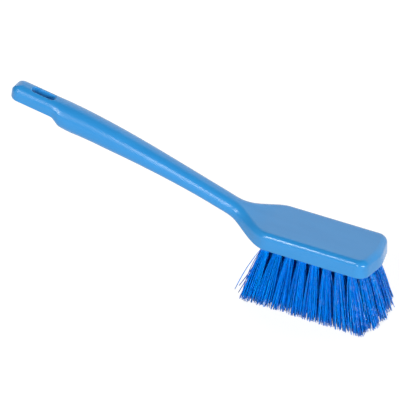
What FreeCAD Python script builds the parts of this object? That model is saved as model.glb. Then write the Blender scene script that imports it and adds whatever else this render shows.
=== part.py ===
# Long-handled scrub brush, in millimetres.
# One moulded plastic body (hanging tab, handle, neck and block) carries bristle tufts.
# Each tuft is folded over a flat wire anchor and driven into a blind hole in the block.
# Frame: +Z up, +X towards the block's free end, z = 0 at the trimmed bristle tips.
# x = 0 is half way along the whole brush, from the hanging tab to the foremost bristle tips.
import FreeCAD, Part
import math
import os

V = FreeCAD.Vector

# Overall: the body from its hanging tab to its nose, and the bristles below the block
BODY_LENGTH = 402.0
BRISTLE_LENGTH = 62.0

# Block
BLOCK_WIDTH = 59.0
BLOCK_HEIGHT = 18.5
BLOCK_LENGTH = 109.6
BLOCK_CORNER_RADIUS = 11.5
BLOCK_NOSE_CROWN = 6.0
BLOCK_NOSE_RADIUS = 36.0
BLOCK_TOP_RADIUS = 6.5
BLOCK_BOTTOM_RADIUS = 1.5
BLOCK_DRAFT_DEG = 2.0

# Tuft field: equal rows, whose front ends follow the nose's curve, the outer rows set back the most
ROW_COUNT = 5
ROW_TUFTS = 8
TUFT_PITCH = 12.8
ROW_PITCH = 11.0
NOSE_MARGIN = 16.3
OUTER_SETBACK = 5.3
HOLE_DIAMETER = 7.6
HOLE_DEPTH = 12.0
TUFT_CLEARANCE = 0.1

# Tuft flare: tips spread from the field's middle by these factors, and each tuft opens to its tip radius
TIP_RADIUS = 7.1
TIP_GAIN_LONG = 1.31
TIP_GAIN_WIDE = 1.33
TUFT_RIDGES = 12
VALLEY_SHARE = 0.9
FLARE_POWER = 0.75

# Wire anchor
ANCHOR_THICKNESS = 0.5
ANCHOR_WIDTH = 2.0
ANCHOR_BITE = 0.8
FOLD_THICKNESS = 2.0

# Shoulder, neck and handle
SHOULDER_LENGTH = 50.1
NECK_BEND_START = 1.8
NECK_BEND_RADIUS = 104.0
NECK_RISE_DEG = 19.7
TAB_RISE_DEG = 9.9
NECK_WIDTH = 20.0
NECK_DEPTH = 15.8
NECK_TOP_RADIUS = 8.6
NECK_LOW_RADIUS = 5.5
SLIM_LENGTH = 18.8
GRIP_WIDTH = 26.5
GRIP_DEPTH = 26.2
GRIP_TOP_RADIUS = 12.6
GRIP_LOW_RADIUS = 11.0
STEP_LENGTH = 12.0

# Hanging tab and slot: the end is rounded as seen from above and, by the tip radius, from the side
TAB_LENGTH = 48.0
TAB_WIDTH = 21.5
TAB_DEPTH = 16.3
TAB_TOP_RADIUS = 9.0
TAB_LOW_RADIUS = 1.8
TAB_END_RADIUS = 9.6
TAB_TIP_RADIUS = 11.0
SLOT_LENGTH = 26.5
SLOT_WIDTH = 7.5
SLOT_END_MARGIN = 20.2
SLOT_RIM_RADIUS = 0.8

# Positions along the brush
FIELD_HALF = (ROW_TUFTS - 1) / 2 * TUFT_PITCH + OUTER_SETBACK / 2
TIP_OVERHANG = (TIP_GAIN_LONG - 1) * FIELD_HALF + TIP_RADIUS - NOSE_MARGIN
OVERALL_LENGTH = BODY_LENGTH + TIP_OVERHANG
NOSE_X = OVERALL_LENGTH / 2 - TIP_OVERHANG
FIELD_X = NOSE_X - NOSE_MARGIN - FIELD_HALF
SHOULDER_X = NOSE_X - BLOCK_LENGTH
BLOCK_TOP = BRISTLE_LENGTH + BLOCK_HEIGHT
BLOCK_MIDDLE = BRISTLE_LENGTH + BLOCK_HEIGHT / 2

# The spine: a short straight, an upward bend, then one long gentle arch to the tab
NECK_RISE = math.radians(NECK_RISE_DEG)
TAB_RISE = math.radians(TAB_RISE_DEG)
TAB_UP = GRIP_DEPTH / 2
TAB_DOWN = TAB_DEPTH - TAB_UP
TAB_REACH = ((TAB_LENGTH - TAB_LOW_RADIUS) * math.cos(TAB_RISE)
             + (TAB_DOWN - TAB_LOW_RADIUS) * math.sin(TAB_RISE) + TAB_LOW_RADIUS)
ARCH_REACH = (SHOULDER_X + OVERALL_LENGTH / 2 - NECK_BEND_START
              - NECK_BEND_RADIUS * math.sin(NECK_RISE) - TAB_REACH)
ARCH_RADIUS = ARCH_REACH / (math.sin(NECK_RISE) - math.sin(TAB_RISE))
BEND_END = NECK_BEND_START + NECK_BEND_RADIUS * NECK_RISE
SPINE_LENGTH = BEND_END + ARCH_RADIUS * (NECK_RISE - TAB_RISE)


def smooth(value, start, end):
    t = min(max((value - start) / (end - start), 0.0), 1.0)
    return t * t * (3 - 2 * t)


def mix(a, b, t):
    return a + (b - a) * t


def spine(s):
    """Point on the spine and its rise angle, s millimetres from the shoulder towards the tab."""
    if s <= NECK_BEND_START:
        return V(SHOULDER_X - s, 0, BLOCK_MIDDLE), 0.0
    rise = min((s - NECK_BEND_START) / NECK_BEND_RADIUS, NECK_RISE)
    x = SHOULDER_X - NECK_BEND_START - NECK_BEND_RADIUS * math.sin(rise)
    z = BLOCK_MIDDLE + NECK_BEND_RADIUS * (1 - math.cos(rise))
    if s > BEND_END:
        rise = NECK_RISE - (s - BEND_END) / ARCH_RADIUS
        x -= ARCH_RADIUS * (math.sin(NECK_RISE) - math.sin(rise))
        z += ARCH_RADIUS * (math.cos(rise) - math.cos(NECK_RISE))
    return V(x, 0, z), rise


def rounded_wire(corners, place):
    """Closed wire through corners (u, v, radius), each rounded; place turns (u, v) into a point."""
    arcs = []
    for i, (u, v, radius) in enumerate(corners):
        before = corners[i - 1]
        after = corners[(i + 1) % len(corners)]
        here = V(u, v, 0)
        back = (V(before[0], before[1], 0) - here).normalize()
        ahead = (V(after[0], after[1], 0) - here).normalize()
        half = back.getAngle(ahead) / 2
        middle = (back + ahead).normalize()
        run = radius / math.tan(half)
        crown = here + middle * (radius / math.sin(half) - radius)
        arcs.append((here + back * run, crown, here + ahead * run))
    edges = []
    for i, (start, crown, end) in enumerate(arcs):
        points = [place(p.x, p.y) for p in (start, crown, end)]
        if start.distanceToPoint(end) > 1e-6:
            edges.append(Part.Arc(*points).toShape())
        following = arcs[(i + 1) % len(arcs)][0]
        edges.append(Part.makeLine(points[2], place(following.x, following.y)))
    return Part.Wire(edges)


def section(s):
    """Cross-section of shoulder, neck and handle, square to the spine."""
    point, rise = spine(s)
    across = V(0, 1, 0)
    up = V(math.sin(rise), 0, math.cos(rise))
    shoulder = smooth(s, 0, SHOULDER_LENGTH)
    grip = smooth(s, SHOULDER_LENGTH + SLIM_LENGTH, SPINE_LENGTH - STEP_LENGTH)
    step = smooth(s, SPINE_LENGTH - STEP_LENGTH, SPINE_LENGTH)

    def along(block, neck, handle, tab):
        return mix(mix(mix(block, neck, shoulder), handle, grip), tab, step)

    draft = BLOCK_HEIGHT * math.tan(math.radians(BLOCK_DRAFT_DEG))
    low_half = along(BLOCK_WIDTH, NECK_WIDTH, GRIP_WIDTH, TAB_WIDTH) / 2
    top_half = low_half - along(draft, 0, 0, 0)
    above = along(BLOCK_HEIGHT / 2, NECK_DEPTH / 2, GRIP_DEPTH / 2, TAB_UP)
    below = along(BLOCK_HEIGHT / 2, NECK_DEPTH / 2, GRIP_DEPTH / 2, TAB_DOWN)
    top_radius = along(BLOCK_TOP_RADIUS, NECK_TOP_RADIUS, GRIP_TOP_RADIUS, TAB_TOP_RADIUS)
    low_radius = along(BLOCK_BOTTOM_RADIUS, NECK_LOW_RADIUS, GRIP_LOW_RADIUS, TAB_LOW_RADIUS)
    corners = [(-low_half, -below, low_radius), (low_half, -below, low_radius),
               (top_half, above, top_radius), (-top_half, above, top_radius)]
    return rounded_wire(corners, lambda u, v: point + across * u + up * v)


def stations():
    marks = [0, SHOULDER_LENGTH, SHOULDER_LENGTH + SLIM_LENGTH,
             SPINE_LENGTH - STEP_LENGTH, SPINE_LENGTH]
    counts = [9, 2, 7, 7]
    out = [0.0]
    for start, end, count in zip(marks, marks[1:], counts):
        out += [start + (end - start) * (i + 1) / count for i in range(count)]
    return out


def rim_edges(solid, keep):
    return [edge for edge in solid.Edges if keep(edge.CenterOfMass)]


def make_block():
    def outline(inset, z):
        half = BLOCK_WIDTH / 2 - inset
        slope = math.atan(BLOCK_NOSE_CROWN / half)
        peak = NOSE_X - inset + BLOCK_NOSE_RADIUS * (1 / math.cos(slope) - 1)
        side = peak - BLOCK_NOSE_CROWN
        corners = [(SHOULDER_X, -half, 0.0),
                   (side, -half, BLOCK_CORNER_RADIUS - inset),
                   (peak, 0, BLOCK_NOSE_RADIUS),
                   (side, half, BLOCK_CORNER_RADIUS - inset),
                   (SHOULDER_X, half, 0.0)]
        return rounded_wire(corners, lambda u, v: V(u, v, z))

    draft = BLOCK_HEIGHT * math.tan(math.radians(BLOCK_DRAFT_DEG))
    block = Part.makeLoft([outline(0, BRISTLE_LENGTH), outline(draft, BLOCK_TOP)], True, True)
    inside = SHOULDER_X + 0.01
    top = rim_edges(block, lambda c: c.z > BLOCK_TOP - 0.01 and c.x > inside)
    block = block.makeFillet(BLOCK_TOP_RADIUS, top)
    low = rim_edges(block, lambda c: c.z < BRISTLE_LENGTH + 0.01 and c.x > inside)
    return block.makeFillet(BLOCK_BOTTOM_RADIUS, low)


def make_tab():
    """Hanging tab, built flat and then set on the end of the spine."""
    half = TAB_WIDTH / 2
    above = [(0, -half, 0.0), (TAB_LENGTH, -half, TAB_END_RADIUS),
             (TAB_LENGTH, half, TAB_END_RADIUS), (0, half, 0.0)]
    tab = Part.Face(rounded_wire(above, lambda u, v: V(-u, v, -TAB_DOWN))).extrude(V(0, 0, TAB_DEPTH))
    free = rim_edges(tab, lambda c: c.x < -0.01)
    tab = tab.makeFillet(TAB_TOP_RADIUS, [edge for edge in free if edge.CenterOfMass.z > TAB_UP - 0.01])
    beside = [(0, -TAB_DOWN, 0.0), (TAB_LENGTH, -TAB_DOWN, 0.0),
              (TAB_LENGTH, TAB_UP, TAB_TIP_RADIUS), (0, TAB_UP, 0.0)]
    side = Part.Face(rounded_wire(beside, lambda u, v: V(-u, -half, v))).extrude(V(0, TAB_WIDTH, 0))
    tab = tab.common(side)
    low = rim_edges(tab, lambda c: c.z < 0.01 - TAB_DOWN and c.x < -0.01)
    tab = tab.makeFillet(TAB_LOW_RADIUS, low)
    tab = cut_slot(tab)
    root, rise = spine(SPINE_LENGTH)
    tab.Placement = FreeCAD.Placement(root, FreeCAD.Rotation(V(0, 1, 0), math.degrees(rise)))
    return tab


def cut_slot(tab):
    far = TAB_LENGTH - SLOT_END_MARGIN
    near = far - SLOT_LENGTH
    radius = SLOT_WIDTH / 2
    slot = Part.makeBox(SLOT_LENGTH - SLOT_WIDTH, SLOT_WIDTH, TAB_DEPTH,
                        V(radius - far, -radius, -TAB_DOWN))
    for end in (near + radius, far - radius):
        slot = slot.fuse(Part.makeCylinder(radius, TAB_DEPTH, V(-end, 0, -TAB_DOWN)))
    tab = tab.cut(slot.removeSplitter())

    def on_rim(c):
        inside = near - 0.01 < -c.x < far + 0.01 and abs(c.y) < radius + 0.01
        return inside and not SLOT_RIM_RADIUS < c.z + TAB_DOWN < TAB_DEPTH - SLOT_RIM_RADIUS

    return tab.makeFillet(SLOT_RIM_RADIUS, rim_edges(tab, on_rim))


def tuft_places():
    """Root of every tuft: (row, number, x, y), both counted from 1, from the -Y side and the handle end."""
    out = []
    outer = (ROW_COUNT - 1) / 2 * ROW_PITCH
    for row in range(ROW_COUNT):
        y = row * ROW_PITCH - outer
        front = NOSE_X - NOSE_MARGIN - OUTER_SETBACK * (y / outer) ** 2
        for i in range(ROW_TUFTS):
            out.append((row + 1, i + 1, front - (ROW_TUFTS - 1 - i) * TUFT_PITCH, y))
    return out


def make_anchor(x, y):
    length = HOLE_DIAMETER + 2 * ANCHOR_BITE
    top = BRISTLE_LENGTH + HOLE_DEPTH - FOLD_THICKNESS
    corner = V(x - length / 2, y - ANCHOR_THICKNESS / 2, top - ANCHOR_WIDTH)
    return Part.makeBox(length, ANCHOR_THICKNESS, ANCHOR_WIDTH, corner)


def ridged_wire(centre, radius):
    points = []
    for i in range(2 * TUFT_RIDGES):
        angle = math.pi * i / TUFT_RIDGES
        reach = radius * (VALLEY_SHARE if i % 2 else 1.0)
        points.append(centre + V(math.cos(angle), math.sin(angle), 0) * reach)
    return Part.makePolygon(points + points[:1])


def make_tuft(x, y):
    plug_radius = HOLE_DIAMETER / 2 - TUFT_CLEARANCE
    plug = Part.makeCylinder(plug_radius, HOLE_DEPTH - TUFT_CLEARANCE, V(x, y, BRISTLE_LENGTH))
    tip_x = FIELD_X + (x - FIELD_X) * TIP_GAIN_LONG
    tip_y = y * TIP_GAIN_WIDE
    wires = [ridged_wire(V(x, y, BRISTLE_LENGTH + 1), plug_radius * VALLEY_SHARE)]
    for t in (0.15, 0.35, 0.65, 1.0):
        centre = V(mix(x, tip_x, t), mix(y, tip_y, t), BRISTLE_LENGTH * (1 - t))
        wires.append(ridged_wire(centre, mix(plug_radius, TIP_RADIUS, t ** FLARE_POWER)))
    brush = Part.makeLoft(wires, True, True)
    return plug.fuse(brush).cut(make_anchor(x, y))


def make_body():
    handle = Part.makeLoft([section(s) for s in stations()], True)
    body = make_block().fuse([handle, make_tab()])
    cutters = []
    for row, number, x, y in tuft_places():
        start = V(x, y, BRISTLE_LENGTH - HOLE_DEPTH)
        cutters.append(Part.makeCylinder(HOLE_DIAMETER / 2, 2 * HOLE_DEPTH, start))
        cutters.append(make_anchor(x, y))
    return body.cut(cutters)


os.makedirs("parts", exist_ok=True)
make_body().exportStep("parts/brush_body.step")
Part.makeCompound([make_anchor(x, y) for row, number, x, y in tuft_places()]).exportStep(
    "parts/wire_anchors.step")
for row, number, x, y in tuft_places():
    make_tuft(x, y).exportStep(f"parts/tuft_row{row}_{number}.step")
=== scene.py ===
import math
import bpy
import numpy as np
from mathutils import Matrix, Vector


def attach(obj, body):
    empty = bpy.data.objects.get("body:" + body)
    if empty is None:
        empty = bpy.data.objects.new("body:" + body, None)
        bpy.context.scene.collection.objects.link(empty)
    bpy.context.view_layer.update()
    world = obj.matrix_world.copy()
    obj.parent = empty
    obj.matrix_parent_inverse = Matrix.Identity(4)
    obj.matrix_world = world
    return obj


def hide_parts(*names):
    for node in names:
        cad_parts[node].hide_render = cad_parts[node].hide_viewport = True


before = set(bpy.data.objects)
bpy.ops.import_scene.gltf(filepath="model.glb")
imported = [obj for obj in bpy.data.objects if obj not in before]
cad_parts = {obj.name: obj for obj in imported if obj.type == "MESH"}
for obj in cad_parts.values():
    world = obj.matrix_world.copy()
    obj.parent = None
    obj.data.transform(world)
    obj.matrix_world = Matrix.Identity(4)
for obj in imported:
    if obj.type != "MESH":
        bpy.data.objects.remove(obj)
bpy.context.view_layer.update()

scene = bpy.context.scene

# Tuft field, in metres, as in the solids: the body's nose sets its place
NOSE_X = max(corner[0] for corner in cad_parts["brush_body"].bound_box)
NOSE_SETBACK = 0.0163
OUTER_SETBACK = 0.0053
TUFT_PITCH = 0.0128
ROW_PITCH = 0.011
ROW_COUNT = 5
ROW_TUFTS = 8
FRONT_X = NOSE_X - NOSE_SETBACK
FIELD_X = FRONT_X - (ROW_TUFTS - 1) / 2 * TUFT_PITCH - OUTER_SETBACK / 2
BLOCK_BOTTOM = 0.062
FOLD_Z = 0.0715
HOLE_RADIUS = 0.0038

# How the field of tufts spreads from the block to the tips
TIP_GAIN_LONG = 1.31
TIP_GAIN_WIDE = 1.33
FLARE_POWER = 0.75

# Half sizes of the patch that a tuft's tips fill, and how far neighbours press it to a square
TIP_REACH = (0.0088, 0.0080)
TIP_SQUARE = 0.6

# Filaments: they thicken to the tip, in place of the larger number in a real tuft
FILAMENTS = 120
FILAMENT_RADIUS = 0.00031
FILAMENT_SIDES = 5
FILAMENT_STEPS = 8
FILAMENT_SWELL = 1.45
CUT_NARROWING = 0.85
FOLD_CROWDING = 0.9
SEED = 11

# Raggedness: clumps that draw tips together, scatter, sideways bow and height of the tips
CLUMPS = 14
CLUMP_PULL = 0.25
TIP_SCATTER = 0.07
BOW = 0.0007
FLOOR_GAP = 0.0001
EVEN_SHARE = 0.9
EVEN_RISE = 0.0006
SHORT_RISE = 0.0030

# Share of the nose tufts' filaments that splay outwards, how far, and how much they lift
FRAY_SHARE = 0.18
FRAY_START = 0.001
FRAY_REACH = 0.0035
FRAY_LIFT = 0.35

# Filaments sprung out of the rear corner tuft: tip and bow of each
STRAYS = [((0.0569, -0.0290, 0.0045), (-0.002, 0, 0)),
          ((0.0615, -0.0305, 0.0030), (0.001, 0, 0)),
          ((0.0651, -0.0300, 0.0018), (-0.003, 0, 0)),
          ((0.0600, -0.0260, 0.0080), (0.002, 0, 0))]

# Map of a tuft: a strip for each filament, with its walls between its two end caps
STRIP_MARGIN = 0.1
STRIP_WIDTH = 0.8
WALL_START = 0.04
WALL_HEIGHT = 0.92
CAP_WIDTH = 0.3
CAP_HEIGHT = 0.012
ROOT_CAP = 0.018
TIP_CAP = 0.982

# Camera at the photograph's angle, in degrees, metres and millimetres of lens
CAMERA_AZIMUTH = 27.2054
CAMERA_ELEVATION = 36.149
CAMERA_DISTANCE = 3.0
CAMERA_LENS = 277.2
CAMERA_AIM = (0.001113, 0, 0.08)
CAMERA_RIGHT = 0.0023005
CAMERA_DOWN = 0.0044239

# Studio
LAMP_DISTANCE = 8.0
LAMP_AIM = (0, 0, 0.08)
FLOOR_HALF = 6.0
FLOOR_COLOUR = (0.35, 0.35, 0.35, 1)
FLOOR_GLOW = 0.80


def node(tree, kind, **inputs):
    made = tree.nodes.new(kind)
    for name, value in inputs.items():
        made.inputs[name].default_value = value
    return made


def noise(tree, coords, scale, detail, rough=0.5):
    made = node(tree, "ShaderNodeTexNoise", Scale=scale, Detail=detail, Roughness=rough)
    tree.links.new(coords, made.inputs["Vector"])
    return made.outputs["Fac"]


def ramp(tree, value, stops):
    """Colours at positions from 0 to 1, in order."""
    made = tree.nodes.new("ShaderNodeValToRGB")
    made.color_ramp.elements[0].position = stops[0][0]
    made.color_ramp.elements[0].color = (*stops[0][1], 1)
    made.color_ramp.elements[1].position = stops[-1][0]
    made.color_ramp.elements[1].color = (*stops[-1][1], 1)
    for position, colour in stops[1:-1]:
        made.color_ramp.elements.new(position).color = (*colour, 1)
    tree.links.new(value, made.inputs["Fac"])
    return made.outputs["Color"]


def spread(tree, value, low, high, start=0.0, end=1.0, curve="LINEAR"):
    """A value that goes from low to high while the given one goes from start to end."""
    made = tree.nodes.new("ShaderNodeMapRange")
    made.interpolation_type = curve
    made.inputs["From Min"].default_value = start
    made.inputs["From Max"].default_value = end
    made.inputs["To Min"].default_value = low
    made.inputs["To Max"].default_value = high
    tree.links.new(value, made.inputs["Value"])
    return made.outputs["Result"]


def combine(tree, operation, first, second):
    made = tree.nodes.new("ShaderNodeMath")
    made.operation = operation
    tree.links.new(first, made.inputs[0])
    tree.links.new(second, made.inputs[1])
    return made.outputs[0]


def bump(tree, height, distance, strength, base=None):
    made = node(tree, "ShaderNodeBump", Strength=strength, Distance=distance)
    tree.links.new(height, made.inputs["Height"])
    if base is not None:
        tree.links.new(base, made.inputs["Normal"])
    return made.outputs["Normal"]


def axes(tree, coords):
    made = tree.nodes.new("ShaderNodeSeparateXYZ")
    tree.links.new(coords, made.inputs[0])
    return made.outputs


def attribute(tree, name):
    made = tree.nodes.new("ShaderNodeAttribute")
    made.attribute_name = name
    return made.outputs["Fac"]


def scaled(tree, coords, factors):
    made = node(tree, "ShaderNodeMapping", Scale=factors)
    tree.links.new(coords, made.inputs["Vector"])
    return made.outputs["Vector"]


def new_material(name):
    material = bpy.data.materials.new(name)
    material.use_nodes = True
    tree = material.node_tree
    return material, tree, tree.nodes["Principled BSDF"]


def object_coords(tree):
    return tree.nodes.new("ShaderNodeTexCoord").outputs["Object"]


def body_material():
    """Moulded plastic: faint flow mottling along the handle and a fine mould grain."""
    material, tree, shader = new_material("moulded_blue_plastic")
    coords = object_coords(tree)
    flow = noise(tree, scaled(tree, coords, (14, 60, 60)), 1.0, detail=4.0)
    colour = ramp(tree, flow, [(0.3, (0.021, 0.244, 0.594)), (0.7, (0.027, 0.268, 0.634))])
    tree.links.new(colour, shader.inputs["Base Color"])
    # The grip is more satin than the block
    scuff = noise(tree, scaled(tree, coords, (60, 420, 420)), 1.0, detail=5.0, rough=0.6)
    satin = spread(tree, axes(tree, coords)["X"], low=0.0, high=0.08, start=0.09, end=0.06)
    rough = combine(tree, "ADD", spread(tree, scuff, low=0.14, high=0.20), satin)
    tree.links.new(rough, shader.inputs["Roughness"])
    grain = noise(tree, coords, 2400, detail=2.0)
    ripple = noise(tree, coords, 160, detail=2.0)
    soft = bump(tree, ripple, distance=0.00012, strength=0.12)
    fine = bump(tree, grain, distance=0.00003, strength=0.3, base=soft)
    tree.links.new(fine, shader.inputs["Normal"])
    shader.inputs["IOR"].default_value = 1.49
    return material


def filament_material():
    """Extruded plastic filament: each one a little lighter or darker, with fine draw lines."""
    material, tree, shader = new_material("blue_filament")
    coords = object_coords(tree)
    colour = ramp(tree, attribute(tree, "strand"), [(0.0, (0.000, 0.140, 0.690)),
                                                    (0.6, (0.000, 0.218, 0.840)),
                                                    (1.0, (0.000, 0.300, 0.910))])
    tree.links.new(colour, shader.inputs["Base Color"])
    lines = noise(tree, scaled(tree, coords, (3000, 3000, 120)), 1.0, detail=2.0)
    tree.links.new(spread(tree, lines, low=0.10, high=0.17), shader.inputs["Roughness"])
    waves = noise(tree, scaled(tree, coords, (400, 400, 220)), 1.0, detail=1.0)
    kink = bump(tree, waves, distance=0.0020, strength=0.8)
    fine = bump(tree, lines, distance=0.00003, strength=0.3, base=kink)
    tree.links.new(fine, shader.inputs["Normal"])
    # Short glossy spots, each across a few filaments, on the worn tufts near the nose
    patches = noise(tree, scaled(tree, coords, (420, 420, 170)), 1.0, detail=1.0)
    spots = ramp(tree, patches, [(0.54, (0, 0, 0)), (0.60, (1, 1, 1))])
    gloss = combine(tree, "MULTIPLY", attribute(tree, "worn"), spots)
    tree.links.new(spread(tree, gloss, low=0.06, high=1.0), shader.inputs["Specular IOR Level"])
    return material


def steel_material():
    """Drawn flat wire: grey steel with fine streaks along its length."""
    material, tree, shader = new_material("drawn_steel")
    coords = object_coords(tree)
    streak = noise(tree, scaled(tree, coords, (200, 6000, 6000)), 1.0, detail=4.0)
    colour = ramp(tree, streak, [(0.3, (0.42, 0.42, 0.43)), (0.7, (0.60, 0.60, 0.60))])
    tree.links.new(colour, shader.inputs["Base Color"])
    tree.links.new(spread(tree, streak, low=0.25, high=0.45), shader.inputs["Roughness"])
    tree.links.new(bump(tree, streak, distance=0.00002, strength=0.3), shader.inputs["Normal"])
    shader.inputs["Metallic"].default_value = 1.0
    return material


def paths_for_tuft(x, y, rng, frayed):
    """Centre lines of a tuft's filaments, (count, steps, 3), from the fold to ragged tips."""
    count = FILAMENTS
    hole = np.array([x, y])
    # Roots fill the round hole evenly, by turns of the golden angle
    order = np.arange(count) + 0.5
    reach = np.sqrt(order / count)
    turn = order * math.pi * (3 - math.sqrt(5)) + rng.uniform(0, 2 * math.pi)
    root = np.stack([np.cos(turn), np.sin(turn)], 1) * reach[:, None]
    root_reach = HOLE_RADIUS - 2 * FILAMENT_RADIUS
    # Neighbouring filaments lean together in small clumps towards their tips
    square = root * (1 + TIP_SQUARE * (reach / np.abs(root).max(1) - 1))[:, None]
    clumps = rng.uniform(-1, 1, (CLUMPS, 2))
    nearest = np.argmin(((square[:, None] - clumps[None]) ** 2).sum(2), 1)
    pull = rng.uniform(0.0, CLUMP_PULL, count)[:, None]
    scatter = rng.normal(0, TIP_SCATTER, (count, 2))
    tip = square + (clumps[nearest] - square) * pull + scatter
    centre = np.array([FIELD_X + (x - FIELD_X) * TIP_GAIN_LONG, y * TIP_GAIN_WIDE])
    start = hole + root * root_reach
    end = centre + tip * np.array(TIP_REACH)
    # Most tips end near the floor and some are shorter
    even = rng.uniform(0, 1, count) < EVEN_SHARE
    slight = rng.uniform(0, EVEN_RISE, count)
    short = rng.uniform(0, SHORT_RISE, count)
    rise = np.where(even, slight, short)
    if frayed:
        splayed = rng.uniform(0, 1, count) < FRAY_SHARE
        push = np.where(splayed, rng.uniform(FRAY_START, FRAY_REACH, count), 0)
        away = end - np.array([FIELD_X, 0])
        end += away / np.linalg.norm(away, axis=1, keepdims=True) * push[:, None]
        rise += FRAY_LIFT * push
    bow = rng.normal(0, BOW, (count, 2))
    lines = np.zeros((count, FILAMENT_STEPS, 3))
    lines[:, 0, :2] = hole + root * root_reach * FOLD_CROWDING
    lines[:, 0, 2] = FOLD_Z
    lean = centre - hole
    for i, t in enumerate(np.linspace(0, 1, FILAMENT_STEPS - 1)):
        flare = t ** FLARE_POWER
        offset = (start - hole) * (1 - flare) + (end - centre) * flare
        lines[:, i + 1, :2] = hole + lean * t + offset + bow * math.sin(math.pi * t)
        lines[:, i + 1, 2] = BLOCK_BOTTOM + (rise + FLOOR_GAP - BLOCK_BOTTOM) * t
    return lines


def tubes(lines):
    """Vertices, faces and map points of thin tubes with closed ends along the lines."""
    count, steps, _ = lines.shape
    sides = FILAMENT_SIDES
    ahead = np.gradient(lines, axis=1)
    ahead /= np.linalg.norm(ahead, axis=2, keepdims=True)
    # Any level direction will do for the rings, because no filament lies flat
    side = np.cross(ahead, np.array([0.31, 0.95, 0.0]))
    side /= np.linalg.norm(side, axis=2, keepdims=True)
    other = np.cross(ahead, side)
    angles = np.arange(sides)[:, None] * 2 * math.pi / sides
    ring = np.cos(angles) * side[:, :, None] + np.sin(angles) * other[:, :, None]
    size = FILAMENT_RADIUS * np.linspace(1, FILAMENT_SWELL, steps)
    size[-1] *= CUT_NARROWING
    verts = (lines[:, :, None] + ring * size[None, :, None, None]).reshape(-1, 3)
    strip, step, corner = np.meshgrid(np.arange(count), np.arange(steps - 1), np.arange(sides),
                                      indexing="ij")
    here = (strip * steps + step) * sides + corner
    beside = (strip * steps + step) * sides + (corner + 1) % sides
    walls = np.stack([here, beside, beside + sides, here + sides], -1).reshape(-1, 4)
    first = np.arange(count)[:, None] * steps * sides
    roots = first + np.arange(sides)[::-1]
    tips = first + (steps - 1) * sides + np.arange(sides)
    # Each filament has its own strip of the map, with its root cap below and its tip cap above
    left = (strip + STRIP_MARGIN + STRIP_WIDTH * corner / sides) / count
    right = left + STRIP_WIDTH / sides / count
    low = WALL_START + WALL_HEIGHT * step / (steps - 1)
    high = low + WALL_HEIGHT / (steps - 1)
    around = ((left, low), (right, low), (right, high), (left, high))
    wall_map = np.stack([np.stack(pair, -1) for pair in around], -2)
    circle = np.concatenate([np.cos(angles) * CAP_WIDTH / count,
                             np.sin(angles) * CAP_HEIGHT], 1)
    middle = np.stack([(np.arange(count) + 0.5) / count, np.zeros(count)], 1)[:, None]
    root_map = middle + circle[::-1] + np.array([0, ROOT_CAP])
    tip_map = middle + circle + np.array([0, TIP_CAP])
    points = np.concatenate([m.reshape(-1, 2) for m in (wall_map, root_map, tip_map)])
    return verts, walls.tolist() + roots.tolist() + tips.tolist(), points


def set_values(mesh, name, values):
    mesh.attributes.new(name, "FLOAT", "POINT").data.foreach_set("value", values)


def make_tuft(name, x, y, rng, material, wear, extra):
    """Mesh of a tuft's filaments: wear goes from 0 at the handle to 1 at the frayed nose."""
    lines = paths_for_tuft(x, y, rng, wear == 1)
    for stray in extra:
        lines = np.concatenate([lines, stray[None]])
    verts, faces, points = tubes(lines)
    mesh = bpy.data.meshes.new(name)
    mesh.from_pydata(verts.tolist(), [], faces)
    mesh.polygons.foreach_set("use_smooth", [len(face) == 4 for face in faces])
    mesh.uv_layers.new(name="OFBake").data.foreach_set("uv", points.ravel())
    shades = rng.uniform(0, 1, len(lines))
    set_values(mesh, "strand", np.repeat(shades, FILAMENT_STEPS * FILAMENT_SIDES))
    set_values(mesh, "worn", np.full(len(verts), wear))
    mesh.materials.append(material)
    piece = bpy.data.objects.new(name, mesh)
    scene.collection.objects.link(piece)
    return piece


def stray_path(x, y, end, bow):
    """Centre line of a filament sprung out of its tuft's side, from the fold to its tip."""
    root = np.array([x, y, BLOCK_BOTTOM]) - np.array([HOLE_RADIUS - 2 * FILAMENT_RADIUS, 0, 0])
    line = np.zeros((FILAMENT_STEPS, 3))
    line[0] = (root[0], root[1], FOLD_Z)
    for i, t in enumerate(np.linspace(0, 1, FILAMENT_STEPS - 1)):
        line[i + 1] = root + (np.array(end) - root) * t + np.array(bow) * math.sin(math.pi * t)
    return line


def make_tufts(material):
    rng = np.random.default_rng(SEED)
    outer = (ROW_COUNT - 1) / 2 * ROW_PITCH
    for row in range(ROW_COUNT):
        y = row * ROW_PITCH - outer
        front = FRONT_X - OUTER_SETBACK * (y / outer) ** 2
        for i in range(ROW_TUFTS):
            x = front - (ROW_TUFTS - 1 - i) * TUFT_PITCH
            wear = (i / (ROW_TUFTS - 1)) ** 2
            label = f"row{row + 1}_{i + 1}"
            extra = []
            if label == "row1_1":
                extra = [stray_path(x, y, *stray) for stray in STRAYS]
            piece = make_tuft(f"bristles_{label}", x, y, rng, material, wear, extra)
            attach(piece, "root")
            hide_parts(f"tuft_{label}")


def dress(name, material):
    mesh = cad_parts[name].data
    mesh.materials.clear()
    mesh.materials.append(material)


def make_camera():
    """Camera at the photograph's angle, from far off with a long lens."""
    azimuth = math.radians(CAMERA_AZIMUTH)
    elevation = math.radians(CAMERA_ELEVATION)
    ahead = Vector((-math.sin(azimuth) * math.cos(elevation),
                    math.cos(azimuth) * math.cos(elevation), -math.sin(elevation)))
    right = Vector((math.cos(azimuth), math.sin(azimuth), 0))
    up = right.cross(ahead)
    aim = Vector(CAMERA_AIM) + right * CAMERA_RIGHT - up * CAMERA_DOWN
    place = aim - ahead * CAMERA_DISTANCE
    data = bpy.data.cameras.new("camera")
    data.lens = CAMERA_LENS
    camera = bpy.data.objects.new("camera", data)
    turn = Matrix((right, up, -ahead)).transposed()
    camera.matrix_world = Matrix.Translation(place) @ turn.to_4x4()
    scene.collection.objects.link(camera)
    scene.camera = camera


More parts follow.
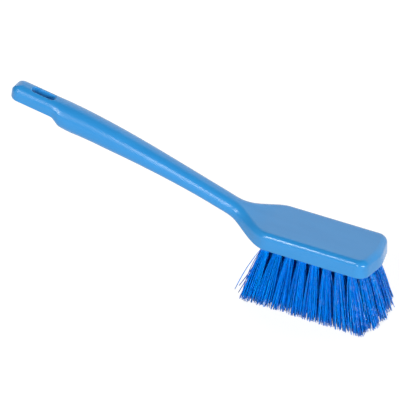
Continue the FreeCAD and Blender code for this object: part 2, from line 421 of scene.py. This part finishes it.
def softbox(name, azimuth, elevation, size, radiance):
    """Rectangular light that faces the brush: direction and size in degrees, from the brush."""
    turn, lift = math.radians(azimuth), math.radians(elevation)
    away = Vector((math.cos(turn) * math.cos(lift), math.sin(turn) * math.cos(lift),
                   math.sin(lift)))
    data = bpy.data.lights.new(name, "AREA")
    data.shape = "RECTANGLE"
    data.size, data.size_y = [2 * LAMP_DISTANCE * math.tan(math.radians(angle) / 2)
                              for angle in size]
    data.energy = radiance * math.pi * data.size * data.size_y
    lamp = bpy.data.objects.new(name, data)
    lamp.location = Vector(LAMP_AIM) + away * LAMP_DISTANCE
    lamp.rotation_euler = away.to_track_quat("Z", "Y").to_euler()
    scene.collection.objects.link(lamp)


def make_floor():
    """White floor: it keeps the soft shadow and glows to camera, mirror and see-through rays."""
    half = FLOOR_HALF
    mesh = bpy.data.meshes.new("floor")
    mesh.from_pydata([(-half, -half, 0), (half, -half, 0), (half, half, 0), (-half, half, 0)],
                     [], [(0, 1, 2, 3)])
    floor = bpy.data.objects.new("floor", mesh)
    scene.collection.objects.link(floor)
    material, tree, shader = new_material("white_floor")
    shader.inputs["Base Color"].default_value = FLOOR_COLOUR
    shader.inputs["Roughness"].default_value = 0.9
    shader.inputs["Specular IOR Level"].default_value = 0.0
    shader.inputs["Emission Color"].default_value = (1, 1, 1, 1)
    rays = tree.nodes.new("ShaderNodeLightPath").outputs
    seen = combine(tree, "MAXIMUM", rays["Is Camera Ray"], rays["Is Glossy Ray"])
    seen = combine(tree, "MAXIMUM", seen, rays["Is Transmission Ray"])
    glow = spread(tree, seen, low=0.0, high=FLOOR_GLOW)
    tree.links.new(glow, shader.inputs["Emission Strength"])
    mesh.materials.append(material)


def make_world():
    """Studio surroundings: white behind the brush, dimmer overhead and on the camera's side."""
    world = bpy.data.worlds.new("studio")
    scene.world = world
    world.use_nodes = True
    tree = world.node_tree
    back = tree.nodes["Background"]
    parts = axes(tree, tree.nodes.new("ShaderNodeTexCoord").outputs["Generated"])
    height = ramp(tree, parts["Z"], [(0.76, (1.0, 1.0, 1.0)), (0.93, (0.18, 0.18, 0.19))])
    tree.links.new(height, back.inputs["Color"])
    depth = spread(tree, parts["Y"], low=0.18, high=1.6, start=0.2, end=0.7, curve="SMOOTHSTEP")
    tree.links.new(depth, back.inputs["Strength"])


scene.view_settings.view_transform = "Standard"
make_camera()
dress("brush_body", body_material())
dress("wire_anchors", steel_material())
make_tufts(filament_material())
make_floor()
make_world()
softbox("key", azimuth=-116.8, elevation=28.5, size=(4.6, 34), radiance=23)
softbox("front", azimuth=-88.5, elevation=22, size=(7.2, 44), radiance=11.5)
softbox("right", azimuth=-34, elevation=11, size=(12, 19), radiance=32)
